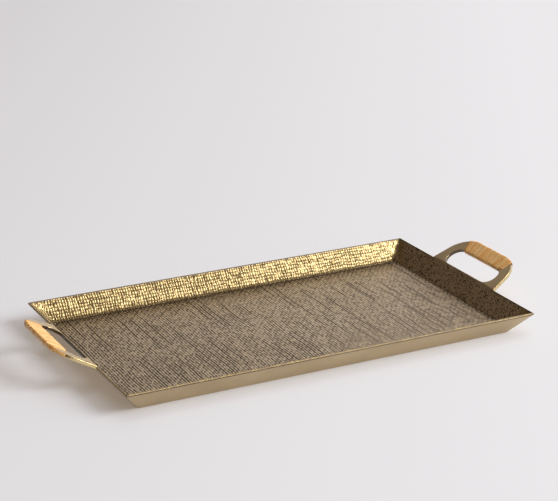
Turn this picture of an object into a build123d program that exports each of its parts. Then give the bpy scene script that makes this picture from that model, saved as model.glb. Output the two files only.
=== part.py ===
"""Serving tray: one metal casting with two loop handles, each grip bound with a strip of cane.

Millimetres, +Z up. The origin is on the table under the middle of the tray, X runs along the
tray from handle to handle, and the handles are mirror images of each other.
"""
import math
import os

from build123d import *

# --- Driving dimensions ---------------------------------------------------------------------

# tray
RIM_LENGTH = 508.0  # outer edge of the rim, along X
RIM_WIDTH = 300.0  # outer edge of the rim, along Y
RIM_HEIGHT = 25.4  # outer edge of the rim above the table
WALL_FLARE = 20.0  # how far a wall leans out between the table and the rim
WALL_THICKNESS = 2.4  # square to the wall
FLOOR_THICKNESS = 3.0
BASE_CORNER_RADIUS = 6.0  # upright corners outside, at the table
RIM_CORNER_RADIUS = 1.2  # upright corners outside, at the rim
FLOOR_CORNER_RADIUS = 9.0  # upright corners inside, at the floor
MOUTH_CORNER_RADIUS = 2.0  # upright corners inside, at the rim
FLOOR_FILLET = 6.0  # between the floor and the walls
FOOT_ROUND = 1.2  # outer edge of the base
RIM_ROUND = 0.6  # both edges of the rim

# loop handles, measured in the sloping plane of the plate
HANDLE_RISE = 27.7  # degrees above level
HANDLE_LIFT = 0.8  # top of the plate above the inner edge of the rim
HANDLE_THICKNESS = 4.2
HANDLE_REACH = 46.0  # rim to the outer edge of the grip
HANDLE_ROOT_WIDTH = 132.5  # across both arms where they leave the rim
HANDLE_TIP_WIDTH = 112.5  # across both arms, carried out to the reach
HANDLE_CORNER_RADIUS = 33.5  # outer corners
HANDLE_EDGE_ROUND = 0.9
HANDLE_ROOT_FILLET = 12.0  # under the plate, against the wall
FINGER_HOLE_LENGTH = 97.5
FINGER_HOLE_DEPTH = 26.1  # rim to the grip
FINGER_HOLE_RADIUS = 12.7
FINGER_HOLE_LAND = 0.5  # top of the plate between the inside of the wall and the finger hole

# cane binding
CANE_WIDTH = 4.0
CANE_THICKNESS = 0.9
CANE_SEAT = 0.05  # between the cane and the metal
CANE_GAP = 0.12  # between one turn and the next
CANE_INNER_LENGTH = 78.0  # bound length along the finger-hole side of the grip
CANE_OUTER_LENGTH = 93.0  # bound length along the outer side, around the corners
CANE_TUCKED_TURNS = 3  # turns that the tail lies under
CANE_TAIL_SHOWING = 3.5  # tail left past the last turn

# --- Sizes that follow ----------------------------------------------------------------------

BASE_LENGTH = RIM_LENGTH - 2 * WALL_FLARE
BASE_WIDTH = RIM_WIDTH - 2 * WALL_FLARE
WALL_LEAN = math.atan2(WALL_FLARE, RIM_HEIGHT)  # from upright
WALL_ACROSS = WALL_THICKNESS / math.cos(WALL_LEAN)  # the wall's thickness, measured level
MOUTH_HEIGHT = RIM_HEIGHT + WALL_THICKNESS * math.sin(WALL_LEAN)  # inner edge of the rim
MOUTH_INSET = WALL_THICKNESS * math.cos(WALL_LEAN)  # outer to inner edge of the rim, level
RISE = math.radians(HANDLE_RISE)


def flared_block(low, high, grow, low_radius, high_radius):
    """A block with rounded upright corners, as large as the tray's outside grown by `grow`."""
    lean = WALL_FLARE / RIM_HEIGHT
    faces = []
    for height, radius in ((low, low_radius), (high, high_radius)):
        spread = 2 * (lean * height + grow)
        outline = RectangleRounded(BASE_LENGTH + spread, BASE_WIDTH + spread, radius)
        faces.append(Pos(0, 0, height) * outline)
    return loft(faces, ruled=True)


def at_height(part, height):
    """The part's edges that lie level at one height."""
    return part.edges().filter_by_position(Axis.Z, height - 0.01, height + 0.01)


# --- Tray casting ---------------------------------------------------------------------------


def rim_cap():
    """What stands above the outer edge of the rim: its end face is square to the wall."""
    rise = 2 * WALL_THICKNESS * math.sin(WALL_LEAN)
    shrink = 2 * rise / math.tan(WALL_LEAN)
    low = RectangleRounded(RIM_LENGTH, RIM_WIDTH, RIM_CORNER_RADIUS)
    high = RectangleRounded(RIM_LENGTH - shrink, RIM_WIDTH - shrink, RIM_CORNER_RADIUS)
    return loft([Pos(0, 0, RIM_HEIGHT) * low, Pos(0, 0, RIM_HEIGHT + rise) * high], ruled=True)


def cavity():
    """The inside of the tray, carried on above the rim."""
    low, high = FLOOR_THICKNESS, RIM_HEIGHT + 3 * WALL_THICKNESS
    narrowing = (FLOOR_CORNER_RADIUS - MOUTH_CORNER_RADIUS) / (MOUTH_HEIGHT - low)
    top_radius = max(MOUTH_CORNER_RADIUS - narrowing * (high - MOUTH_HEIGHT), RIM_ROUND / 2)
    return flared_block(low, high, -WALL_ACROSS, FLOOR_CORNER_RADIUS, top_radius)


def tray_body():
    outside = flared_block(0, RIM_HEIGHT, 0, BASE_CORNER_RADIUS, RIM_CORNER_RADIUS)
    outside = fillet(at_height(outside, 0), FOOT_ROUND)
    inside = fillet(at_height(cavity(), FLOOR_THICKNESS), FLOOR_FILLET)
    body = outside + rim_cap() - inside
    body = fillet(at_height(body, RIM_HEIGHT), RIM_ROUND)
    inner_edge = body.edges().filter_by(lambda edge: edge.center().Z > MOUTH_HEIGHT - 0.02)
    return fillet(inner_edge, RIM_ROUND)


# --- Handles --------------------------------------------------------------------------------

# The right handle is drawn in the plane of its top face. Its origin is above the outer edge of
# the rim, local X runs outwards up the slope and local Y along the rim. The inside of the wall
# runs up past the rim to this plane and meets it in a crease, just short of the finger hole.
TOP_AT_RIM = MOUTH_HEIGHT + HANDLE_LIFT + MOUTH_INSET * math.tan(RISE)
HANDLE_PLANE = Plane(
    origin=(RIM_LENGTH / 2, 0, TOP_AT_RIM),
    x_dir=(math.cos(RISE), 0, math.sin(RISE)),
    z_dir=(-math.sin(RISE), 0, math.cos(RISE)),
)
CREASE_OFFSET = HANDLE_LIFT / (1 / math.tan(WALL_LEAN) - math.tan(RISE))  # from the inner edge, level
CREASE = (CREASE_OFFSET - MOUTH_INSET) / math.cos(RISE)  # local X
BEND = math.pi / 2 - WALL_LEAN - RISE  # turn from the wall into the plate
ARM_LEAN = math.atan2((HANDLE_ROOT_WIDTH - HANDLE_TIP_WIDTH) / 2, HANDLE_REACH)
ROOT_DEPTH = 30.0  # how far the blank runs inwards before the wall cuts it off
HOLE_START = CREASE + FINGER_HOLE_LAND
HOLE_CORNER = min(FINGER_HOLE_RADIUS, 0.48 * (FINGER_HOLE_DEPTH - HOLE_START))


def handle_outline(grow=0.0):
    """The plate seen square on, as a sketch in HANDLE_PLANE, grown by `grow` all round."""
    outer = HANDLE_REACH + grow
    corners = []
    for end, side in ((-ROOT_DEPTH, -1), (outer, -1), (outer, 1), (-ROOT_DEPTH, 1)):
        half_width = HANDLE_ROOT_WIDTH / 2 - end * math.tan(ARM_LEAN) + grow / math.cos(ARM_LEAN)
        corners.append((end, side * half_width))
    blank = make_face(Polyline(*corners, close=True))
    return fillet(blank.vertices().group_by(Axis.X)[-1], HANDLE_CORNER_RADIUS + grow)


def finger_hole(shrink=0.0):
    """The finger hole as a sketch in HANDLE_PLANE, shrunk by `shrink` all round."""
    depth = FINGER_HOLE_DEPTH - HOLE_START - 2 * shrink
    length = FINGER_HOLE_LENGTH - 2 * shrink
    middle = (HOLE_START + FINGER_HOLE_DEPTH) / 2
    return Pos(middle, 0) * RectangleRounded(depth, length, HOLE_CORNER - shrink)


def square_plate(grow=0.0):
    """The flat plate, in local coordinates, grown by `grow` all round, and its sharp edges."""
    sketch = handle_outline(grow) - finger_hole(grow)
    thickness = HANDLE_THICKNESS + 2 * grow
    plate = Pos(0, 0, grow - thickness) * extrude(sketch, thickness)
    return plate, plate.faces().filter_by(GeomType.PLANE).filter_by(Axis.Z).edges()


def root_wedge():
    """Metal that fills the corner between the underside of the plate and the outer wall."""
    wall = Vector(-math.sin(WALL_LEAN), 0, -math.cos(WALL_LEAN))  # down the outside of the wall
    slope = Vector(math.cos(RISE), 0, math.sin(RISE))  # up the plate
    below_top = HANDLE_THICKNESS / math.cos(RISE) - (TOP_AT_RIM - RIM_HEIGHT)
    down_wall = below_top * math.cos(RISE) / math.sin(BEND)
    corner = Vector(RIM_LENGTH / 2, 0, RIM_HEIGHT) + wall * down_wall
    turn = math.pi - BEND  # angle between the two faces, on the open side
    run = HANDLE_ROOT_FILLET / math.tan(turn / 2)
    centre = corner + (wall + slope).normalized() * (HANDLE_ROOT_FILLET / math.sin(turn / 2))
    buried = corner - (wall + slope).normalized() * WALL_THICKNESS / 2
    outline = [buried, corner + wall * run, corner + slope * run]
    side = make_face(Plane.XZ * Polyline(*[(point.X, point.Z) for point in outline], close=True))
    side -= Plane.XZ * Pos(centre.X, centre.Z) * Circle(HANDLE_ROOT_FILLET)
    return extrude(side, HANDLE_ROOT_WIDTH / 2, both=True)


def handle_plate():
    """The plate in place on the right of the tray, trimmed to the inside of the wall."""
    plate, sharp_edges = square_plate()
    plate = HANDLE_PLANE * fillet(sharp_edges, HANDLE_EDGE_ROUND)
    below = handle_outline(-HANDLE_EDGE_ROUND) - finger_hole(-HANDLE_EDGE_ROUND)
    wedge = root_wedge() & HANDLE_PLANE * extrude(below, 2 * HANDLE_THICKNESS, both=True)
    return plate - cavity() + wedge


def casting():
    plate = handle_plate()
    return tray_body() + plate + mirror(plate, Plane.YZ)


# --- Cane binding ---------------------------------------------------------------------------

# Each turn slants by half its width over the top of the grip, and by the other half underneath,
# which brings it up beside the turn before. Both ends of the strip lie along the underside, held
# down by the turns that pass over them.
OUTER_STRAIGHT = HANDLE_TIP_WIDTH / 2 - HANDLE_CORNER_RADIUS * math.tan((math.pi / 2 - ARM_LEAN) / 2)
INNER_STRAIGHT = FINGER_HOLE_LENGTH / 2 - HOLE_CORNER
MIDDLE = -HANDLE_THICKNESS / 2  # local Z of the middle of the plate
TURNS = round((CANE_INNER_LENGTH + CANE_OUTER_LENGTH) / 2 / CANE_WIDTH)
CANE_REACH = CANE_SEAT + CANE_THICKNESS


def round_corner(edge, straight, radius, distance):
    """A point `distance` along one side of the grip from its middle, around the corner."""
    turned = max(abs(distance) - straight, 0) / radius
    local_y = min(abs(distance), straight) + radius * math.sin(turned)
    return Vector(edge - radius * (1 - math.cos(turned)), math.copysign(local_y, distance))


def crossing(inner_turn, outer_turn):
    """The two ends of a line across the grip, where turns are counted on each side from 0."""
    inner_along = (inner_turn / (TURNS + 0.5) - 0.5) * CANE_INNER_LENGTH
    outer_along = (outer_turn / (TURNS + 0.5) - 0.5) * CANE_OUTER_LENGTH
    inner = round_corner(FINGER_HOLE_DEPTH, INNER_STRAIGHT, HOLE_CORNER, inner_along)
    outer = round_corner(HANDLE_REACH, OUTER_STRAIGHT, HANDLE_CORNER_RADIUS, outer_along)
    overhang = (outer - inner).normalized() * 3 * CANE_REACH
    return inner - overhang, outer + overhang


def strip(inner_turn, outer_turn):
    """A block over one crossing of the grip, one cane wide, from the first edge named."""
    width = 1 - CANE_GAP / CANE_WIDTH
    low = crossing(inner_turn, outer_turn)
    high = crossing(inner_turn + width, outer_turn + width)
    side = Polyline(low[0], low[1], high[1], high[0], close=True)
    return Pos(0, 0, MIDDLE) * extrude(make_face(side), HANDLE_THICKNESS, both=True)


def tail(end):
    """An end of the strip along the underside, and the hump that the turns make over it.

    `end` is -1 or 1, for the two ends of the grip along local Y.
    """
    inner, outer = crossing(TURNS / 2 + end * TURNS / 2, TURNS / 2 + end * TURNS / 2)
    centre = (inner + outer) / 2
    tucked = CANE_TUCKED_TURNS * CANE_WIDTH
    length = tucked + CANE_TAIL_SHOWING
    lay = Pos(centre.X, centre.Y + end * (CANE_TAIL_SHOWING - length / 2), 0)
    top = -HANDLE_THICKNESS - CANE_SEAT
    flat = Pos(0, 0, top - CANE_THICKNESS / 2) * Box(CANE_WIDTH, length, CANE_THICKNESS)
    over = Pos(centre.X, centre.Y - end * tucked / 2, top - CANE_THICKNESS)
    return lay * flat, over * Box(CANE_WIDTH + 2 * CANE_THICKNESS, tucked, 2 * CANE_THICKNESS)


def bevelled_plate(grow):
    """The plate grown by `grow`, with a flat across each rounded edge, as stiff cane bends."""
    plate, sharp_edges = square_plate(grow)
    flat = (2 - math.sqrt(2)) * (HANDLE_EDGE_ROUND + grow)  # touches the rounding at its middle
    return chamfer(sharp_edges, flat)


def cane_binding():
    """One strip wound around the right-hand grip, in place."""
    sleeve = bevelled_plate(CANE_REACH) - bevelled_plate(CANE_SEAT)
    half = Box(4 * HANDLE_REACH, 2 * HANDLE_ROOT_WIDTH, 2 * HANDLE_THICKNESS)
    tails, humps = zip(*(tail(end) for end in (-1, 1)))
    top = sleeve & Pos(0, 0, MIDDLE + HANDLE_THICKNESS) * half
    bottom = sleeve & Pos(0, 0, MIDDLE - HANDLE_THICKNESS) * half
    bottom += list(humps)
    crossings = [top & strip(turn, turn + 0.5) for turn in range(TURNS)]
    crossings += [bottom & strip(turn, turn - 0.5) for turn in range(1, TURNS)]
    return HANDLE_PLANE * (crossings[0] + crossings[1:] + list(tails))


os.makedirs("parts", exist_ok=True)
binding = cane_binding()
export_step(casting(), "parts/tray_casting.step")
export_step(binding, "parts/cane_binding_right.step")
export_step(mirror(binding, Plane.YZ), "parts/cane_binding_left.step")
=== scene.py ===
import math

import bmesh
import bpy
from mathutils import Matrix, Vector, noise
from mathutils.bvhtree import BVHTree


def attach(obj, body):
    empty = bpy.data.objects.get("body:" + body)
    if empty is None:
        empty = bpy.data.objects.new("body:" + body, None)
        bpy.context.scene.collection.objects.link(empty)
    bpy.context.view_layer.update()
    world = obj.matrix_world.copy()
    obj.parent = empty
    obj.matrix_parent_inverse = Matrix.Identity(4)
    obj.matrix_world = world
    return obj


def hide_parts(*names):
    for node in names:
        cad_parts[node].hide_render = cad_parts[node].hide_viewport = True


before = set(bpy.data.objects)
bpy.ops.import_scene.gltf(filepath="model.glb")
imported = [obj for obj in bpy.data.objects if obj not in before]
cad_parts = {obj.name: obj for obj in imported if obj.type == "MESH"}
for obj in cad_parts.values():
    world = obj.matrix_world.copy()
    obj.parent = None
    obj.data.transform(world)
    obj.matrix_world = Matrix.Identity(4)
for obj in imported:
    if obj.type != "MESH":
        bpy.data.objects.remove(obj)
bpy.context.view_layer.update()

MM = 0.001

# --- Studio ---------------------------------------------------------------------------------
# A wide pale sheet that the tray stands on, in a dim warm room that is bright on the right. The
# main light is in front on the right, with a weak low one in front and a broad one overhead. They
# make no glare: a white card just above the main one makes the highlights on the metal.

# PAPER_LEFT to PAPER_RIGHT is painted light: the paper is darker to the left, as if the light fell
# off there
PAPER_LEFT = "#c9cfdb"
PAPER_RIGHT = "#e7eef9"
PAPER_GLOW = "#e8e7e8"
# SHADOW_GLOW is a painted warm fill: the glow the eye sees on the paper, warm in the shadow in place
# of light thrown back by the brass
SHADOW_GLOW = "#e9d3bd"
SHEET_SIZE = 14.0
PALER_TOWARDS = (0.852, -0.529, 0.0)
PALER_FROM = -0.7
PALER_TO = 0.35
SHADOW_FILL = 0.26  # share of glow in the paper that the eye sees, in the shadow too
MIRRORED_FILL = 0.25  # share of glow in the paper that the metal mirrors
ROOM_BRIGHT = "#f0eeee"
ROOM_DIM = "#5d5349"
BRIGHT_TOWARDS = (0.80, 0.30, 0.52)
LAMP_WHITE = "#fffefc"
SOFT_LIGHTS = {  # towards: where it stands, seen from the tray. spread: degrees across
    "main_light": {"towards": (0.66, -0.54, 0.52), "spread": 34, "strength": 3.3, "makes": "shade"},
    "low_light": {"towards": (0.10, -0.93, 0.35), "spread": 30, "strength": 0.3, "makes": "shade"},
    "top_light": {"towards": (0.10, 0.0, 0.99), "spread": 60, "strength": 0.62, "makes": "shade"},
    "white_card": {"towards": (0.52, -0.50, 0.69), "spread": 30, "strength": 1.2, "makes": "gloss"},
}
CAMERA_PLACE = Vector((-0.87311, -1.69451, 0.76931))
CAMERA_TURN = (math.radians(70.57), 0.0, math.radians(-27.257))
CAMERA_LENS = 113.75
CAMERA_SENSOR = 36.0


def linear(hex_colour):
    """Linear RGBA from an sRGB hex value."""
    shares = [int(hex_colour[i:i + 2], 16) / 255 for i in (1, 3, 5)]
    return [s / 12.92 if s <= 0.04045 else ((s + 0.055) / 1.055) ** 2.4 for s in shares] + [1.0]


def add_node(tree, kind, settings=None, inputs=None):
    """A node with its settings, and its inputs as values or as outputs of other nodes."""
    node = tree.nodes.new("ShaderNode" + kind)
    for name, value in (settings or {}).items():
        setattr(node, name, value)
    for name, value in (inputs or {}).items():
        if isinstance(value, bpy.types.NodeSocket):
            tree.links.new(value, node.inputs[name])
        else:
            node.inputs[name].default_value = value
    return node


def new_material(name):
    """A material with no nodes yet."""
    material = bpy.data.materials.new(name)
    material.use_nodes = True
    material.node_tree.nodes.clear()
    return material


def finish_material(material, shader):
    """The material with its shader joined to its surface."""
    add_node(material.node_tree, "OutputMaterial", inputs={"Surface": shader.outputs[0]})
    return material


def new_object(name, bm, material):
    """A mesh object from a bmesh, with one material."""
    mesh = bpy.data.meshes.new(name)
    bm.to_mesh(mesh)
    bm.free()
    mesh.materials.append(material)
    piece = bpy.data.objects.new(name, mesh)
    bpy.context.scene.collection.objects.link(piece)
    return piece


def paper_material():
    """Matt seamless paper, painted paler on the right: a painted fall-off of the light towards the
    left. It keeps the shadow, filled a little by a glow.
    """
    material = new_material("seamless_paper")
    tree = material.node_tree
    place = add_node(tree, "TexCoord").outputs["Object"]
    # painted light fall-off: the paper grows paler towards the right
    distance = add_node(tree, "VectorMath", {"operation": "DOT_PRODUCT"}, {
        0: place, 1: PALER_TOWARDS}).outputs["Value"]
    share = add_node(tree, "MapRange", inputs={
        "Value": distance, "From Min": PALER_FROM, "From Max": PALER_TO}).outputs["Result"]
    colour = add_node(tree, "Mix", {"data_type": "RGBA"}, {
        0: share, 6: linear(PAPER_LEFT), 7: linear(PAPER_RIGHT)}).outputs[2]
    paper = add_node(tree, "BsdfDiffuse", inputs={"Color": colour})
    rays = add_node(tree, "LightPath").outputs
    # painted warm fill for the eye, in place of light thrown back by the brass
    glow_colour = add_node(tree, "Mix", {"data_type": "RGBA"}, {
        0: rays["Is Camera Ray"], 6: linear(PAPER_GLOW), 7: linear(SHADOW_GLOW)}).outputs[2]
    glow = add_node(tree, "Emission", inputs={"Color": glow_colour, "Strength": 1.0})
    mirrored = add_node(tree, "Math", {"operation": "ADD", "use_clamp": True}, {
        0: rays["Is Glossy Ray"], 1: rays["Is Transmission Ray"]}).outputs[0]
    seen = add_node(tree, "Math", {"operation": "MULTIPLY"}, {
        0: rays["Is Camera Ray"], 1: SHADOW_FILL}).outputs[0]
    fill = add_node(tree, "Math", {"operation": "MULTIPLY_ADD"}, {
        0: mirrored, 1: MIRRORED_FILL, 2: seen}).outputs[0]
    return finish_material(material, add_node(tree, "MixShader", inputs={
        0: fill, 1: paper.outputs[0], 2: glow.outputs[0]}))


bm = bmesh.new()
bmesh.ops.create_grid(bm, x_segments=1, y_segments=1, size=SHEET_SIZE / 2)
sheet = new_object("paper_sheet", bm, paper_material())

world = bpy.data.worlds.new("room")
bpy.context.scene.world = world
world.use_nodes = True
tree = world.node_tree
tree.nodes.clear()
direction = add_node(tree, "TexCoord").outputs["Generated"]
towards_bright = add_node(tree, "VectorMath", {"operation": "DOT_PRODUCT"}, {
    0: direction, 1: BRIGHT_TOWARDS}).outputs["Value"]
share = add_node(tree, "MapRange", {"interpolation_type": "SMOOTHSTEP"}, {
    "Value": towards_bright, "From Min": 0.50, "From Max": 1.0}).outputs["Result"]
room = add_node(tree, "Mix", {"data_type": "RGBA"}, {
    0: share, 6: linear(ROOM_DIM), 7: linear(ROOM_BRIGHT)}).outputs[2]
seen = add_node(tree, "LightPath").outputs["Is Camera Ray"]
behind = add_node(tree, "Mix", {"data_type": "RGBA"}, {
    0: seen, 6: room, 7: linear(PAPER_GLOW)}).outputs[2]
background = add_node(tree, "Background", inputs={"Color": behind, "Strength": 1.0})
add_node(tree, "OutputWorld", inputs={"Surface": background.outputs[0]})

for name, light in SOFT_LIGHTS.items():
    lamp = bpy.data.lights.new(name, "SUN")
    lamp.angle = math.radians(light["spread"])
    lamp.energy = light["strength"]
    lamp.color = linear(LAMP_WHITE)[:3]
    stand = bpy.data.objects.new(name, lamp)
    stand.location = light["towards"]
    stand.rotation_euler = Vector(light["towards"]).to_track_quat("Z", "Y").to_euler()
    stand.visible_glossy = light["makes"] == "gloss"
    stand.visible_diffuse = light["makes"] == "shade"
    bpy.context.scene.collection.objects.link(stand)

camera = bpy.data.cameras.new("camera")
camera.sensor_width = CAMERA_SENSOR
camera.lens = CAMERA_LENS
eye = bpy.data.objects.new("camera", camera)
eye.location = CAMERA_PLACE
eye.rotation_euler = CAMERA_TURN
bpy.context.scene.collection.objects.link(eye)
bpy.context.scene.camera = eye
bpy.context.scene.view_settings.view_transform = "Standard"

# --- Tray casting ---------------------------------------------------------------------------
# The body and both loop handles are one sand casting in brass, antiqued with a brown patina.
# The outside is rubbed to a satin, and the rim and the edges of the handles are polished bright.

RIM_LENGTH = 508.0 * MM
RIM_WIDTH = 300.0 * MM
RIM_HEIGHT = 25.4 * MM
WALL_FLARE = 20.0 * MM
WALL_THICKNESS = 2.4 * MM
WALL_LEAN = math.atan2(WALL_FLARE, RIM_HEIGHT)
FLOOR_THICKNESS = 3.0 * MM
FLOOR_FILLET = 6.0 * MM
HANDLE_RISE = math.radians(27.7)
WELD = 0.002 * MM
CAST_SMOOTH_ANGLE = math.radians(32)

HANDLE_START = 0.2 * MM  # past the end of the rim
HOLE_INSET = 1.0 * MM  # of the finger hole, from the end of the rim
HOLE_OUTSET = 24.5 * MM
HOLE_REACH = 49.5 * MM  # either way along the rim, from its middle
EDGE_TILT = 0.35  # a face that looks less than this out of the plate is an edge of it
FLAT_TILT = 0.85  # and one that looks at least this much out of it is a flat of the handle
RIM_BAND = 2.0 * MM  # width of the rim, seen from above
RIM_DEPTH = 0.1 * MM  # the rim's faces lie no deeper than this under its outer edge
FRONT_BAND = 3.0 * MM  # width of the strip along the front where the rim is rubbed most
UPWARDS = 0.1  # a face that looks up more than this is on the inside

SATIN_BRASS = "#d2b78a"
SATIN_BRASS_DARK = "#ba9d70"
POLISHED_BRASS = "#f3dca4"
POLISHED_BRASS_DARK = "#d9b878"
RIM_GOLD = "#ab9461"
RIM_BROWN = "#8c7250"
PATINA = "#4a3a26"
HANDLE_BRASS = "#e0c79c"
HANDLE_BRASS_DARK = "#c2a67a"
# HOLE_BROWN: painted shade inside the finger holes, and patina at the border of the print
HOLE_BROWN = "#59452f"
SATIN, BROWNED, POLISHED, RUBBED, DARK = range(5)


def brass_shader(tree, colour, roughness, bump, bare=1.0, coat=1.0):
    """Waxed brass. Where the patina lies thick, little of the metal is bare."""
    return add_node(tree, "BsdfPrincipled", inputs={
        "Base Color": colour, "Metallic": bare, "Roughness": roughness, "Normal": bump,
        "Coat Weight": coat, "Coat Roughness": 0.35})


def cast_grain(tree, place, grain, strength):
    """Fine bumps of a sand casting. Real ones are a few tenths of a millimetre across, and these
    are as coarse as they need to be to show."""
    sand = add_node(tree, "TexNoise", inputs={"Vector": place, "Scale": 1 / grain, "Detail": 3.0})
    return add_node(tree, "Bump", inputs={
        "Strength": strength, "Distance": grain / 4, "Height": sand.outputs[0]}).outputs[0]


def satin_brass():
    """Cast brass rubbed to a satin: broad soft reflections in a mottled tan, with a dark line just
    under the rim: painted shade of the rim's edge, with some patina."""
    material = new_material("satin_brass")
    tree = material.node_tree
    place = add_node(tree, "TexCoord").outputs["Object"]
    cloud = add_node(tree, "TexNoise", inputs={
        "Vector": place, "Scale": 1 / (45 * MM), "Detail": 4.0}).outputs[0]
    colour = add_node(tree, "Mix", {"data_type": "RGBA"}, {
        0: cloud, 6: linear(SATIN_BRASS_DARK), 7: linear(SATIN_BRASS)}).outputs[2]
    height = add_node(tree, "SeparateXYZ", inputs={"Vector": place}).outputs["Z"]
    # painted shade: a dark line just under the rim, with some patina in it
    shade_under_rim = add_node(tree, "MapRange", {"interpolation_type": "SMOOTHSTEP"}, {
        "Value": height, "From Min": RIM_HEIGHT - 2.2 * MM, "From Max": RIM_HEIGHT - 0.8 * MM,
        "To Max": 0.85}).outputs["Result"]
    colour = add_node(tree, "Mix", {"data_type": "RGBA"}, {
        0: shade_under_rim, 6: colour, 7: linear(PATINA)}).outputs[2]
    rough = add_node(tree, "MapRange", inputs={
        "Value": cloud, "To Min": 0.50, "To Max": 0.40}).outputs["Result"]
    bump = cast_grain(tree, place, grain=0.5 * MM, strength=0.12)
    return finish_material(material, brass_shader(tree, colour, rough, bump, coat=0.4))


def browned_brass():
    """The same brass under a thin brown haze, on the flats of the handles and most of the rim:
    softer and duller than the outside."""
    material = new_material("browned_brass")
    tree = material.node_tree
    place = add_node(tree, "TexCoord").outputs["Object"]
    cloud = add_node(tree, "TexNoise", inputs={
        "Vector": place, "Scale": 1 / (20 * MM), "Detail": 4.0}).outputs[0]
    colour = add_node(tree, "Mix", {"data_type": "RGBA"}, {
        0: cloud, 6: linear(HANDLE_BRASS_DARK), 7: linear(HANDLE_BRASS)}).outputs[2]
    bump = cast_grain(tree, place, grain=0.5 * MM, strength=0.15)
    return finish_material(material, brass_shader(tree, colour, 0.42, bump, bare=0.7))


def polished_brass():
    """Brass filed and polished through the patina: a pale gold along the edges of the handles."""
    material = new_material("polished_brass")
    tree = material.node_tree
    place = add_node(tree, "TexCoord").outputs["Object"]
    wear = add_node(tree, "TexNoise", inputs={
        "Vector": place, "Scale": 1 / (6 * MM), "Detail": 3.0}).outputs[0]
    colour = add_node(tree, "Mix", {"data_type": "RGBA"}, {
        0: wear, 6: linear(POLISHED_BRASS_DARK), 7: linear(POLISHED_BRASS)}).outputs[2]
    bump = cast_grain(tree, place, grain=0.8 * MM, strength=0.2)
    return finish_material(material, brass_shader(tree, colour, 0.22, bump))


def rubbed_rim_brass():
    """The front of the rim, rubbed back to gold in patches a few millimetres long, with brown left
    between them."""
    material = new_material("rubbed_rim_brass")
    tree = material.node_tree
    place = add_node(tree, "TexCoord").outputs["Object"]
    wear = add_node(tree, "TexNoise", inputs={
        "Vector": place, "Scale": 1 / (4 * MM), "Detail": 3.0}).outputs[0]
    rubbed = add_node(tree, "MapRange", {"interpolation_type": "SMOOTHSTEP"}, {
        "Value": wear, "From Min": 0.42, "From Max": 0.62}).outputs["Result"]
    colour = add_node(tree, "Mix", {"data_type": "RGBA"}, {
        0: rubbed, 6: linear(RIM_BROWN), 7: linear(RIM_GOLD)}).outputs[2]
    bare = add_node(tree, "MapRange", inputs={"Value": rubbed, "To Min": 0.35}).outputs["Result"]
    bump = cast_grain(tree, place, grain=1.6 * MM, strength=0.5)
    return finish_material(material, brass_shader(tree, colour, 0.36, bump, bare))


def patina_and_hole_shade():
    """The thick brown patina that is left where no file reached, around the border of the print, and
    painted shade inside the finger holes: dark and dull, with little metal showing."""
    material = new_material("patina_and_hole_shade")
    tree = material.node_tree
    place = add_node(tree, "TexCoord").outputs["Object"]
    cloud = add_node(tree, "TexNoise", inputs={
        "Vector": place, "Scale": 1 / (8 * MM), "Detail": 4.0}).outputs[0]
    colour = add_node(tree, "Mix", {"data_type": "RGBA"}, {
        0: cloud, 6: linear(PATINA), 7: linear(HOLE_BROWN)}).outputs[2]
    bump = cast_grain(tree, place, grain=0.7 * MM, strength=0.3)
    return finish_material(material, brass_shader(tree, colour, 0.5, bump, bare=0.5))


def finish_of(face):
    """Which finish a face of the casting has, from where it lies and which way it looks."""
    centre, normal = face.calc_center_median(), face.normal
    side = math.copysign(1, centre.x)
    past_end = abs(centre.x) - RIM_LENGTH / 2
    past_rim = max(past_end, abs(centre.y) - RIM_WIDTH / 2)
    plate_tilt = -side * normal.x * math.sin(HANDLE_RISE) + normal.z * math.cos(HANDLE_RISE)
    by_hole = -HOLE_INSET < past_end < HOLE_OUTSET and abs(centre.y) < HOLE_REACH
    # the faces inside the finger holes get the dark finish as painted shade
    if by_hole and abs(plate_tilt) < EDGE_TILT:
        return DARK
    if past_end > HANDLE_START or (by_hole and plate_tilt > EDGE_TILT):
        return POLISHED if abs(plate_tilt) < FLAT_TILT else BROWNED
    if centre.z > RIM_HEIGHT - RIM_DEPTH and past_rim > -RIM_BAND:
        return RUBBED if centre.y < FRONT_BAND - RIM_WIDTH / 2 else BROWNED
    return DARK if normal.z > UPWARDS else SATIN


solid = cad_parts["tray_casting"]
bm = bmesh.new()
bm.from_mesh(solid.data)
bmesh.ops.remove_doubles(bm, verts=bm.verts, dist=WELD)
for edge in bm.edges:
    edge.smooth = edge.is_manifold and edge.calc_face_angle(0) < CAST_SMOOTH_ANGLE
for face in bm.faces:
    face.smooth = True
    face.material_index = finish_of(face)
casting = new_object("tray_body_and_handles", bm, satin_brass())
for finish in (browned_brass(), polished_brass(), rubbed_rim_brass(), patina_and_hole_shade()):
    casting.data.materials.append(finish)
weights = casting.modifiers.new("even_normals", "WEIGHTED_NORMAL")
weights.keep_sharp = True
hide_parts("tray_casting")
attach(casting, "root")

# --- Woven relief ---------------------------------------------------------------------------
# The inside of the casting carries the print of coarse burlap that lined the mould. The threads
# stand up and are rubbed to gold, and the gaps between them keep the dark patina.

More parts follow.
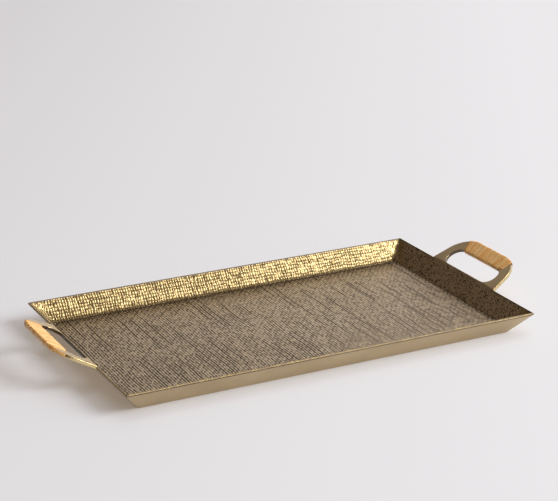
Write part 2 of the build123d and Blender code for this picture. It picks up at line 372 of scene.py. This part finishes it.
WARP_PITCH = 3.25 * MM
WEFT_PITCH = 4.0 * MM
WARP_STEPS = (0.0, 0.18, 0.36, 0.64, 0.82)
WEFT_STEPS = (0.0, 0.22, 0.5, 0.78)
PRINT_MARGIN = 0.5 * MM  # of plain metal, between the print and the rim
RELIEF = 0.48 * MM
LEAST_RELIEF = 0.04 * MM
SUNK = 0.08 * MM  # the border of the print lies this far under the face of the casting
SLAB_DEPTH = 1.4 * MM
WANDER = 1.9 * MM  # how far threads wander side by side
WANDER_WIDTH = 70 * MM
WANDER_LENGTH = 50 * MM
LONE_WANDER = 0.75 * MM  # how far each wanders by itself
CRUSHED_WANDER = 0.8 * MM  # how much further, up the long walls
LONE_WANDER_LENGTH = 13 * MM
CRUSH = 1.0 * MM  # how far the crossings are shoved about, up the long walls
CRUSH_SIZE = 5.0 * MM
SLIT_LENGTH = 7 * MM
LONG_SLIT_LENGTH = 120 * MM
WARP_SEED = 3.1
WEFT_SEED = 8.7
BEAD_SEED = 1
HANDLE_LIFT = 0.8 * MM
HANDLE_ROOT_WIDTH = 132.5 * MM
LOOK_FROM = 200 * MM  # a height above the whole tray
PRINT_SMOOTH_ANGLE = math.radians(75)
CAST_GOLD = "#f8e4c4"
CAST_GOLD_DARK = "#dfc6a1"
# WALL_GOLD and WALL_GAP_BROWN are painted light: the print's colours up the long walls, set apart for
# how the light falls there
WALL_GOLD = "#ceb581"
GAP_BROWN = "#4f3c24"
WALL_GAP_BROWN = "#67532a"
wall_rise = math.pi / 2 - WALL_LEAN
wall_across = WALL_THICKNESS / math.cos(WALL_LEAN)
wall_foot_x = RIM_LENGTH / 2 - WALL_FLARE - wall_across + FLOOR_THICKNESS * math.tan(WALL_LEAN)
wall_foot_y = wall_foot_x + (RIM_WIDTH - RIM_LENGTH) / 2
mouth_inset = WALL_THICKNESS * math.cos(WALL_LEAN)
print_end_x = RIM_LENGTH / 2 - mouth_inset - PRINT_MARGIN
print_end_y = print_end_x + (RIM_WIDTH - RIM_LENGTH) / 2
run_up = HANDLE_LIFT / (1 / math.tan(WALL_LEAN) - math.tan(HANDLE_RISE))
fillet_run = FLOOR_FILLET * math.tan(wall_rise / 2)


def level_place(cloth, foot):
    """How far out a point of the cloth lies, measured level, from its distance along the cloth."""
    flat = foot - fillet_run
    past = abs(cloth) - flat
    arc = FLOOR_FILLET * wall_rise
    if past <= 0:
        return cloth
    if past < arc:
        return math.copysign(flat + FLOOR_FILLET * math.sin(past / FLOOR_FILLET), cloth)
    up_wall = flat + FLOOR_FILLET * math.sin(wall_rise) + (past - arc) * math.cos(wall_rise)
    return math.copysign(up_wall, cloth)


def cloth_half(foot, print_end):
    """Half the cloth's size, from the middle of the floor to just under the rim."""
    flat = foot - fillet_run
    straight = print_end - flat - FLOOR_FILLET * math.sin(wall_rise)
    return flat + FLOOR_FILLET * wall_rise + straight / math.cos(wall_rise)


def thread_lines(half, pitch, steps):
    """Nominal places across the threads, as (thread, share of its width, distance)."""
    threads = math.ceil(half / pitch)
    lines = [(i, s, (i + s) * pitch) for i in range(-threads, threads) for s in steps]
    lines = [line for line in lines if -half < line[2] < half]
    lines[0] = (lines[0][0], lines[0][1], -half)
    return lines + [(threads - 1, 1.0, half)]


def smoothstep(low, high, value):
    """From 0 at low to 1 at high, eased at both ends."""
    share = min(max((value - low) / (high - low), 0.0), 1.0)
    return share * share * (3 - 2 * share)


def unevenness(x, y, z):
    """Smooth noise from -1 to 1 that changes over about one unit. It is always 0 at whole numbers,
    so a thread's or turn's number is stretched a little before it is looked up."""
    return noise.noise(Vector((x, y, z)))


def gap_line(thread, along, pitch, seed, crushed):
    """Where the gap before a thread lies, at a distance along it: all wander, each on its own too."""
    together = WANDER * unevenness(thread * pitch / WANDER_WIDTH, along / WANDER_LENGTH, seed)
    alone = LONE_WANDER + CRUSHED_WANDER * crushed
    alone *= unevenness(thread * 1.73, along / LONE_WANDER_LENGTH, seed + 5)
    return thread * pitch + together + alone


def thread_place(thread, share, along, pitch, seed, crushed):
    """Where a point of a thread lies, between the gaps on its two sides."""
    first, second = (gap_line(thread + i, along, pitch, seed, crushed) for i in (0, 1))
    return first + (second - first) * share


def gap_opening(gap, along):
    """How far the gap between two warp threads has opened: short slits, and a few long ones. There
    are more short ones to the left and to the front, where the cloth was strained."""
    strain = 0.05 - 0.08 * gap * WARP_PITCH / (250 * MM) - 0.16 * along / (150 * MM)
    slits = smoothstep(-0.10, 0.25, strain + unevenness(gap * 1.37 + 0.5, along / SLIT_LENGTH, 6))
    long_slit = smoothstep(0.27, 0.31, unevenness(gap * 2.7, along / LONG_SLIT_LENGTH, 2))
    return max(0.85 * slits, 1.3 * long_slit)


def floor_height(warp, warp_share, weft, weft_share, along, opened):
    """Plain weave, from 0 in the gaps to 1: each warp thread passes over and under in turn, thick
    and thin along its length. Weft threads bridge the gaps, apart from those that have opened."""
    over = math.sin(math.pi * (weft + weft_share)) * (-1) ** warp
    slub = unevenness(warp * 1.37, along / WEFT_PITCH * 0.8, 1)
    knot = unevenness((warp + warp_share) * 0.8, weft * 1.61, 4)
    crown = math.sin(math.pi * warp_share)
    weft_crown = math.sin(math.pi * weft_share) ** 0.8
    warp_height = (0.80 + 0.20 * over + 0.26 * slub) * (0.62 + 0.38 * weft_crown)
    bridge = (0.36 + 0.42 * knot) * weft_crown + 0.08
    closed = bridge + (warp_height - bridge) * crown ** 0.8
    open_gap = warp_height * max(crown - 0.22, 0) / 0.78
    return closed + (open_gap - closed) * opened


def side_wall_height(warp, warp_share, weft, weft_share, opened, drawn):
    """Up the long walls the cloth was crushed: every crossing is a bead, tilted its own way.
    Where it was drawn tight, the beads run together into ridges along the wall."""
    cell = Vector((warp * 1.31 + 0.4, weft * 1.47 + 0.3, 0.5))
    lean_x, lean_y, size = noise.noise_vector(cell)
    bead = math.sin(math.pi * warp_share) ** (0.6 - 0.45 * drawn)
    bead *= math.sin(math.pi * weft_share) ** 0.6
    bead *= 0.88 + 0.7 * size + 1.5 * lean_x * (warp_share - 0.5) + 1.5 * lean_y * (weft_share - 0.5)
    in_gap = opened * (1 - drawn) * (abs(warp_share - 0.5) > 0.3)
    return bead * (1 - 0.8 * in_gap) + 0.09


def end_wall_height(hit):
    """Up the end walls the print is worn down to fine pebbles, about a millimetre across."""
    return 0.66 + 1.4 * noise.noise(hit / (1.3 * MM)) + 0.9 * noise.noise(hit / (0.8 * MM))


def bareness_and_corner_shade(x, y, to_border):
    """How bare the crests are rubbed, from 0 to 1, with painted shade along the foot of the walls,
    most of all that of the long ones. The border under the rim keeps some patina."""
    # painted shade: the crests are darker in a band along the foot of the walls, wider by the long
    # ones
    up_wall = max(abs(x) - wall_foot_x, abs(y) - wall_foot_y)
    by_long_wall = smoothstep(-8 * MM, 8 * MM, abs(y) - wall_foot_y + wall_foot_x - abs(x))
    low = smoothstep(4.5 * MM, 1 * MM, up_wall)
    bare = 1 - 0.25 * by_long_wall * smoothstep(-26 * MM, -4 * MM, up_wall) * low
    bare *= 1 - (0.25 + 0.25 * by_long_wall) * smoothstep(-5 * MM, -1 * MM, up_wall) * low
    return bare * smoothstep(0.0, 1.3 * MM, to_border)


noise.seed_set(BEAD_SEED)  # without it, noise_vector draws other beads in every run
half_x = cloth_half(wall_foot_x, print_end_x)
half_y = cloth_half(wall_foot_y, print_end_y)
columns = thread_lines(half_x, WARP_PITCH, WARP_STEPS)
rows = thread_lines(half_y, WEFT_PITCH, WEFT_STEPS)
mould = bmesh.new()
mould.from_mesh(solid.data)
surface = BVHTree.FromBMesh(mould)
mould.free()


def relief_point(column, row):
    """The place of one point of the print, and how bare it is rubbed there, from 0 to 1. The print
    fades out into the arms of the handles, where it is rubbed evenly, and sinks in at its border."""
    (warp, warp_share, across), (weft, weft_share, along) = columns[column], rows[row]
    from_end, from_side = half_x - abs(across), half_y - abs(along)
    to_border = min(from_end, from_side)
    on_end_wall = smoothstep(-2 * MM, 6 * MM, abs(across) - wall_foot_x)
    on_side_wall = smoothstep(-2 * MM, 6 * MM, abs(along) - wall_foot_y)

    settled = smoothstep(0, 8 * MM, to_border)
    warp_place = thread_place(warp, warp_share, along, WARP_PITCH, WARP_SEED, on_side_wall)
    weft_place = thread_place(weft, weft_share, across, WEFT_PITCH, WEFT_SEED, on_side_wall)
    crush = settled * on_side_wall * CRUSH
    cloth_x = across + settled * (warp_place - across)
    cloth_x += crush * unevenness(across / CRUSH_SIZE, along / CRUSH_SIZE, 21)
    cloth_y = along + settled * (weft_place - along)
    cloth_y += crush * unevenness(across / CRUSH_SIZE, along / CRUSH_SIZE, 33)
    x, y = level_place(cloth_x, wall_foot_x), level_place(cloth_y, wall_foot_y)
    past_arm = abs(y) - HANDLE_ROOT_WIDTH / 2
    by_handle = 1 - smoothstep(-6 * MM, 2 * MM, past_arm)
    x += math.copysign(run_up * by_handle * smoothstep(6 * MM, 0, from_end), x)
    hit, normal, *_ = surface.ray_cast(Vector((x, y, LOOK_FROM)), Vector((0, 0, -1)))

    opened = gap_opening(warp + round(warp_share), along) * (1 - on_end_wall)
    drawn = smoothstep(-0.2, 1.0, across / half_x + 0.8 * noise.noise(hit / (40 * MM)))
    beads = side_wall_height(warp, warp_share, weft, weft_share, opened, drawn)
    crumple = 0.30 * noise.noise(hit / (7.0 * MM)) + 0.35 * noise.noise(hit / (1.9 * MM))
    crest = floor_height(warp, warp_share, weft, weft_share, along, opened)
    crest += on_side_wall * (beads - crest)
    crest += 0.9 * on_end_wall * (end_wall_height(hit) - crest)
    crest += on_side_wall * (crumple + 0.10 * drawn) + 0.12 * noise.noise(hit / (1.5 * MM))
    crest = min(max(crest, 0.0), 1.0)

    arm_root = by_handle * smoothstep(-34 * MM, -20 * MM, past_arm)
    fading = 0.8 * arm_root * smoothstep(7 * MM, 1 * MM, from_end)
    cover = smoothstep(0.2 * MM, 1.8 * MM, to_border)
    height = LEAST_RELIEF + (RELIEF - LEAST_RELIEF) * crest * (1 - fading)
    lift = cover * height - (1 - cover) * SUNK
    evened = crest + (0.55 - crest) * fading
    # how bare the crests are, darkened by painted shade at the foot of the walls
    return hit + normal * lift, evened * bareness_and_corner_shade(x, y, to_border)


def woven_cast_brass():
    """Burlap cast in brass: gold on the threads, brightest up the walls, and brown patina between.
    Up the long walls the gold and the brown are other colours: painted light, for how it falls there.
    """
    material = new_material("woven_cast_brass")
    tree = material.node_tree
    place = add_node(tree, "TexCoord").outputs["Object"]
    # bare: how rubbed the crests are, with the painted shade at the foot of the walls in it
    bare = add_node(tree, "Attribute", {"attribute_name": "bare"}).outputs["Fac"]
    rubbed = add_node(tree, "MapRange", {"interpolation_type": "SMOOTHSTEP"}, {
        "Value": bare, "From Min": 0.15, "From Max": 0.70}).outputs["Result"]
    cloud = add_node(tree, "TexNoise", inputs={
        "Vector": place, "Scale": 1 / (50 * MM), "Detail": 3.0}).outputs[0]
    gold = add_node(tree, "Mix", {"data_type": "RGBA"}, {
        0: cloud, 6: linear(CAST_GOLD_DARK), 7: linear(CAST_GOLD)}).outputs[2]
    width_place = add_node(tree, "SeparateXYZ", inputs={"Vector": place}).outputs["Y"]
    from_middle = add_node(tree, "Math", {"operation": "ABSOLUTE"}, {0: width_place}).outputs[0]
    on_side_wall = add_node(tree, "MapRange", {"interpolation_type": "SMOOTHSTEP"}, {
        "Value": from_middle, "From Min": wall_foot_y - 3 * MM,
        "From Max": wall_foot_y + 3 * MM}).outputs["Result"]
    # painted light: another gold and brown up the long walls, for how the light falls on them
    gold = add_node(tree, "Mix", {"data_type": "RGBA"}, {
        0: on_side_wall, 6: gold, 7: linear(WALL_GOLD)}).outputs[2]
    gap = add_node(tree, "Mix", {"data_type": "RGBA"}, {
        0: on_side_wall, 6: linear(GAP_BROWN), 7: linear(WALL_GAP_BROWN)}).outputs[2]
    colour = add_node(tree, "Mix", {"data_type": "RGBA"}, {
        0: rubbed, 6: gap, 7: gold}).outputs[2]
    rough = add_node(tree, "MapRange", inputs={
        "Value": bare, "To Min": 0.55, "To Max": 0.28}).outputs["Result"]
    bump = cast_grain(tree, place, grain=0.9 * MM, strength=0.45)
    return finish_material(material, brass_shader(tree, colour, rough, bump, coat=0.35))


def bands(lines, cuts):
    """Runs of lines between the cuts, each as (first, last)."""
    ends = [0] + [min(i for i, line in enumerate(lines) if line[2] >= cut) for cut in cuts]
    return list(zip(ends, ends[1:] + [len(lines) - 1]))


def print_slab(name, points, column_band, row_band, on_floor, material):
    """One closed slab of the print, its underside buried in the casting."""
    (left, right), (front, back) = column_band, row_band
    bm = bmesh.new()
    bare = bm.verts.layers.float.new("bare")
    bmesh.ops.create_grid(bm, x_segments=right - left, y_segments=back - front, size=0.5)
    for vertex in bm.verts:
        column = left + round((vertex.co.x + 0.5) * (right - left))
        row = front + round((vertex.co.y + 0.5) * (back - front))
        vertex.co, vertex[bare] = points[column][row]
    for face in bm.faces:
        face.smooth = True
    if on_floor:
        border = [e for e in bm.edges if e.is_boundary]
        skirt = bmesh.ops.extrude_edge_only(bm, edges=border)["geom"]
        for vertex in skirt:
            if isinstance(vertex, bmesh.types.BMVert):
                vertex.co.z = FLOOR_THICKNESS - SLAB_DEPTH
        rim = [e for e in bm.edges if e.is_boundary]
        under = bmesh.ops.contextual_create(bm, geom=rim)["faces"]
        bmesh.ops.triangulate(bm, faces=under)
    else:
        skirt = bmesh.ops.extrude_face_region(bm, geom=bm.faces[:] + bm.edges[:] + bm.verts[:],
                                              use_keep_orig=True)["geom"]
        low = [v for v in skirt if isinstance(v, bmesh.types.BMVert)]
        bmesh.ops.translate(bm, verts=low, vec=(0, 0, -SLAB_DEPTH))
    bmesh.ops.recalc_face_normals(bm, faces=bm.faces)
    for edge in bm.edges:
        edge.smooth = edge.calc_face_angle(0) < PRINT_SMOOTH_ANGLE
    return new_object(name, bm, material)


points = [[relief_point(column, row) for row in range(len(rows))] for column in range(len(columns))]
column_bands = bands(columns, (-wall_foot_x, 0, wall_foot_x))
row_bands = bands(rows, (-wall_foot_y, wall_foot_y))
weave = woven_cast_brass()
for column_band, end in zip(column_bands, ("left_wall", "left", "right", "right_wall")):
    for row_band, side in zip(row_bands, ("front", "middle", "back")):
        on_floor = side == "middle" and end in ("left", "right")
        name = "woven_print_" + side + "_" + end
        piece = print_slab(name, points, column_band, row_band, on_floor, weave)
        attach(piece, "root")

# --- Cane bindings --------------------------------------------------------------------------
# Each grip is wound with one long strip of split cane, glazed side out. The strip slants over the
# grip and comes back underneath, its turns fan out around the bends, and its ends are tucked under.

HANDLE_THICKNESS = 4.2 * MM
HANDLE_REACH = 46.0 * MM
HANDLE_TIP_WIDTH = 112.5 * MM
HANDLE_CORNER_RADIUS = 33.5 * MM
HANDLE_EDGE_ROUND = 0.9 * MM
FINGER_HOLE_LENGTH = 97.5 * MM
FINGER_HOLE_DEPTH = 26.1 * MM
FINGER_HOLE_RADIUS = 12.7 * MM
CANE_TURNS = 21
CANE_WIDTH = 4.1 * MM
CANE_THICKNESS = 0.86 * MM
CANE_SEAT = 0.06 * MM
CANE_PROFILE = ((0.97, 0.0), (1.0, 0.35), (0.86, 0.66), (0.5, 0.9), (0.0, 1.0),
                (-0.5, 0.9), (-0.86, 0.66), (-1.0, 0.35), (-0.97, 0.0), (0.97, 0.0))
CANE_WELD = 0.001 * MM
CANE_SMOOTH_ANGLE = math.radians(50)
EDGE_STEPS = 3  # from stop to stop around each quarter of a rounded edge
CROSSING_STEPS = 6  # and over each face of the grip
TAIL_SHOWING = 3.5 * MM
TAIL_TUCKED = 15.5 * MM
TAIL_STEPS = 6
LOOSE_TUCKED = 4 * MM
LOOSE_LIFT = 0.5 * MM
LOOSE_STEPS = 8
BINDINGS = {  # slack: how far the turns sag. open_turns: the ones with a gap beside them
    "cane_binding_right": {
        "side": 1, "seed": 2.0, "slack": 0.3 * MM, "loose_end": 0,
        "inner": (-44 * MM, 37 * MM), "outer": (-49 * MM, 45 * MM), "open_turns": (3, 14, 15)},
    "cane_binding_left": {
        "side": -1, "seed": 9.0, "slack": 1.5 * MM, "loose_end": 13 * MM,
        "inner": (-44 * MM, 46 * MM), "outer": (-47 * MM, 46 * MM), "open_turns": (6,)},
}
FIBRE_LENGTH = 10.42 * MM
FIBRE_WIDTH = 0.256 * MM
TURNS_APART = 1.6  # so that no turn has the fibres of the one before it
CANE_STRAW = "#fbd99a"
CANE_HONEY = "#f2b05a"
CANE_STREAK = "#cf8530"
arm_lean = math.atan2((HANDLE_ROOT_WIDTH - HANDLE_TIP_WIDTH) / 2, HANDLE_REACH)
corner_bend = math.pi / 2 - arm_lean
outer_straight = HANDLE_TIP_WIDTH / 2 - HANDLE_CORNER_RADIUS * math.tan(corner_bend / 2)
inner_straight = FINGER_HOLE_LENGTH / 2 - FINGER_HOLE_RADIUS
mouth_height = RIM_HEIGHT + WALL_THICKNESS * math.sin(WALL_LEAN)
top_at_rim = mouth_height + HANDLE_LIFT + mouth_inset * math.tan(HANDLE_RISE)
rim_end = Matrix.Translation((RIM_LENGTH / 2, 0, top_at_rim))
grip_frame = rim_end @ Matrix.Rotation(-HANDLE_RISE, 4, "Y")


def along_edge(edge, straight, radius, distance):
    """A point along one side of the grip from its middle, around the corner."""
    turned = max(abs(distance) - straight, 0) / radius
    sideways = min(abs(distance), straight) + radius * math.sin(turned)
    return Vector((edge - radius * (1 - math.cos(turned)), math.copysign(sideways, distance), 0))


def turn_pitch(binding, edge):
    """How far the strip moves on with each turn, along the inner or the outer side of the grip."""
    first, last = binding[edge]
    return (last - first) / (CANE_TURNS + 0.5)


def inner_point(binding, turn):
    """Where the strip has got to on the finger-hole side, after so many turns."""
    distance = binding["inner"][0] + turn_pitch(binding, "inner") * turn
    return along_edge(FINGER_HOLE_DEPTH, inner_straight, FINGER_HOLE_RADIUS, distance)


def outer_point(binding, turn):
    """Where it has got to on the outer side."""
    distance = binding["outer"][0] + turn_pitch(binding, "outer") * turn
    return along_edge(HANDLE_REACH, outer_straight, HANDLE_CORNER_RADIUS, distance)


def wrap(edge, outwards, first_angle, last_angle, middle):
    """Around one rounded edge of the plate: (point on the metal, way out of it)."""
    centre = edge - outwards * HANDLE_EDGE_ROUND + Vector((0, 0, middle))
    stops = []
    for step in range(EDGE_STEPS + 1):
        angle = first_angle + (last_angle - first_angle) * step / EDGE_STEPS
        out = outwards * math.cos(angle) + Vector((0, 0, math.sin(angle)))
        stops.append((centre + out * HANDLE_EDGE_ROUND, out))
    return stops


def crossing_stops(start, end, height, up):
    """Straight over one face of the plate between its two rounded edges."""
    across = (end - start).normalized()
    low, high = start + across * HANDLE_EDGE_ROUND, end - across * HANDLE_EDGE_ROUND
    return [(low.lerp(high, step / CROSSING_STEPS) + Vector((0, 0, height)), Vector((0, 0, up)))
            for step in range(1, CROSSING_STEPS)]


def winding_route(binding):
    """Stops along the whole strip, as (turns so far, point on the metal, way out, half width)."""
    quarter = math.pi / 2
    top, bottom = -HANDLE_EDGE_ROUND, HANDLE_EDGE_ROUND - HANDLE_THICKNESS
    inner_pitch, outer_pitch = turn_pitch(binding, "inner"), turn_pitch(binding, "outer")
    seed = binding["seed"]
    route = []
    for turn in range(CANE_TURNS):
        start, end = inner_point(binding, turn + 0.5), outer_point(binding, turn + 1)
        back = inner_point(binding, turn + 1.5)
        over, under = (end - start).normalized(), (back - end).normalized()
        legs = [crossing_stops(start, end, 0, 1),
                wrap(end, over, quarter, 0, top) + wrap(end, -under, 0, -quarter, bottom)]
        if turn < CANE_TURNS - 1:
            legs += [crossing_stops(end, back, -HANDLE_THICKNESS, -1),
                     wrap(back, under, -quarter, 0, bottom) + wrap(back, under, 0, quarter, top)]
        stops = [stop for leg in legs for stop in leg]
        slack = binding["slack"] * smoothstep(-0.6, 0.5, unevenness(turn * 0.83, seed, 11))
        half_share = 0.50 - 0.05 * smoothstep(0.05, 0.5, unevenness(turn * 1.9, seed, 13))
        half_share -= 0.07 * (turn in binding["open_turns"])
        for step, (point, out) in enumerate(stops):
            reach = (point.x - FINGER_HOLE_DEPTH) / (HANDLE_REACH - FINGER_HOLE_DEPTH)
            pitch = inner_pitch + (outer_pitch - inner_pitch) * min(max(reach, 0), 1)
            sag = slack * max(-out.z, 0) * smoothstep(0.5, 1.0, reach)
            hang = Vector((-0.55 * sag, 0, -sag))
            route.append((turn + step / len(stops), point + hang, out, pitch * half_share))
    return route


def cane_strip(bm, layers, route, seed):
    """The domed section of the cane swept along a route, a little uneven from turn to turn."""
    steps, sides = len(route) - 1, len(CANE_PROFILE) - 1
    sections, run = [], 0.0
    for step, (turn, point, out, half) in enumerate(route):
        before, after = route[max(step - 1, 0)][1], route[min(step + 1, steps)][1]
        run += (point - before).length
        side = (after - before).cross(out).normalized()
        sway = 0.20 * MM * unevenness(turn * 0.9, seed, 0)
        thick = CANE_THICKNESS * (0.84 + 0.15 * unevenness(turn * 1.3, seed, 7))
        tilt = 0.30 * unevenness(turn * 0.7, seed, 3)
        section = []
        for across, height in CANE_PROFILE:
            lift = CANE_SEAT + thick * min(height * (1 + tilt * across), 1.0)
            section.append(grip_frame @ (point + side * (half * across + sway) + out * lift))
        sections.append((run, turn, section))
    grid = bmesh.ops.create_grid(bm, x_segments=steps, y_segments=sides, size=0.5)["verts"]
    for vertex in grid:
        step, place = round((vertex.co.x + 0.5) * steps), round((vertex.co.y + 0.5) * sides)
        run, turn, section = sections[step]
        vertex.co = section[place]
        for layer, value in zip(layers, (run, CANE_PROFILE[place][0], turn + 0.5)):
            vertex[layer] = value
    bmesh.ops.remove_doubles(bm, verts=grid, dist=CANE_WELD)


def tail_route(binding, end):
    """A tucked end of the strip, along the underside of the grip and out past the last turn."""
    last = CANE_TURNS / 2 * (1 + end)
    middle = (inner_point(binding, last) + outer_point(binding, last)) / 2
    route = []
    for step in range(TAIL_STEPS + 1):
        past_last = TAIL_SHOWING - TAIL_TUCKED * step / TAIL_STEPS
        point = middle + Vector((0, end * past_last, -HANDLE_THICKNESS))
        route.append((step, point, Vector((0, 0, -1)), CANE_WIDTH * 0.45))
    return route


def loose_route(binding):
    """An end that came away and lies along the outer edge of the handle, just past the turns."""
    low = Vector((0, 0, -HANDLE_THICKNESS * 0.52))
    start = binding["outer"][0] + LOOSE_TUCKED
    length = binding["loose_end"] + LOOSE_TUCKED
    route = []
    for step in range(LOOSE_STEPS + 1):
        share = step / LOOSE_STEPS
        distance = start - length * share
        point = along_edge(HANDLE_REACH, outer_straight, HANDLE_CORNER_RADIUS, distance)
        turned = (abs(distance) - outer_straight) / HANDLE_CORNER_RADIUS
        out = Vector((math.cos(turned), -math.sin(turned), 0))
        lifted = LOOSE_LIFT * smoothstep(0.5, 1.0, share)
        route.append((step / 40, point + low + out * lifted, out, CANE_WIDTH * 0.48))
    return route


def split_cane():
    """Glazed rattan peel: straw gold to honey from turn to turn, with fine straight fibres about
    10 mm long and a quarter of a millimetre wide."""
    material = new_material("split_cane")
    tree = material.node_tree
    along, across, turn = (add_node(tree, "Attribute", {"attribute_name": name}).outputs["Fac"]
                           for name in ("along", "across", "turn"))
    whole_turn = add_node(tree, "Math", {"operation": "FLOOR"}, {0: turn}).outputs[0]
    tone = add_node(tree, "TexWhiteNoise", {"noise_dimensions": "1D"}, {
        "W": whole_turn}).outputs["Value"]
    gold = add_node(tree, "Mix", {"data_type": "RGBA"}, {
        0: tone, 6: linear(CANE_HONEY), 7: linear(CANE_STRAW)}).outputs[2]
    lengths = add_node(tree, "Math", {"operation": "DIVIDE"}, {
        0: along, 1: FIBRE_LENGTH}).outputs[0]
    widths = add_node(tree, "Math", {"operation": "MULTIPLY"}, {
        0: across, 1: CANE_WIDTH / 2 / FIBRE_WIDTH}).outputs[0]
    apart = add_node(tree, "Math", {"operation": "MULTIPLY"}, {
        0: whole_turn, 1: TURNS_APART}).outputs[0]
    in_fibres = add_node(tree, "CombineXYZ", inputs={
        "X": lengths, "Y": widths, "Z": apart}).outputs[0]
    fibre = add_node(tree, "TexNoise", inputs={
        "Vector": in_fibres, "Scale": 1.0, "Detail": 4.0}).outputs[0]
    streak = add_node(tree, "MapRange", {"interpolation_type": "SMOOTHSTEP"}, {
        "Value": fibre, "From Min": 0.30, "From Max": 0.60}).outputs["Result"]
    colour = add_node(tree, "Mix", {"data_type": "RGBA"}, {
        0: streak, 6: linear(CANE_STREAK), 7: gold}).outputs[2]
    bump = add_node(tree, "Bump", inputs={
        "Strength": 0.3, "Distance": 0.1 * MM, "Height": fibre}).outputs[0]
    return finish_material(material, add_node(tree, "BsdfPrincipled", inputs={
        "Base Color": colour, "Roughness": 0.42, "Normal": bump,
        "Coat Weight": 0.35, "Coat Roughness": 0.3}))


peel = split_cane()
for name, binding in BINDINGS.items():
    bm = bmesh.new()
    layers = [bm.verts.layers.float.new(layer) for layer in ("along", "across", "turn")]
    seed = binding["seed"]
    cane_strip(bm, layers, winding_route(binding), seed)
    for end in (-1, 1):
        cane_strip(bm, layers, tail_route(binding, end), seed + end)
    if binding["loose_end"]:
        cane_strip(bm, layers, loose_route(binding), seed + 3)
    bmesh.ops.holes_fill(bm, edges=[e for e in bm.edges if e.is_boundary])
    bmesh.ops.scale(bm, vec=(binding["side"], 1, 1), verts=bm.verts)
    bmesh.ops.recalc_face_normals(bm, faces=bm.faces)
    for face in bm.faces:
        face.smooth = True
    for edge in bm.edges:
        edge.smooth = edge.calc_face_angle(0) < CANE_SMOOTH_ANGLE
    wound = new_object(name + "_wound", bm, peel)
    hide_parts(name)
    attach(wound, "root")
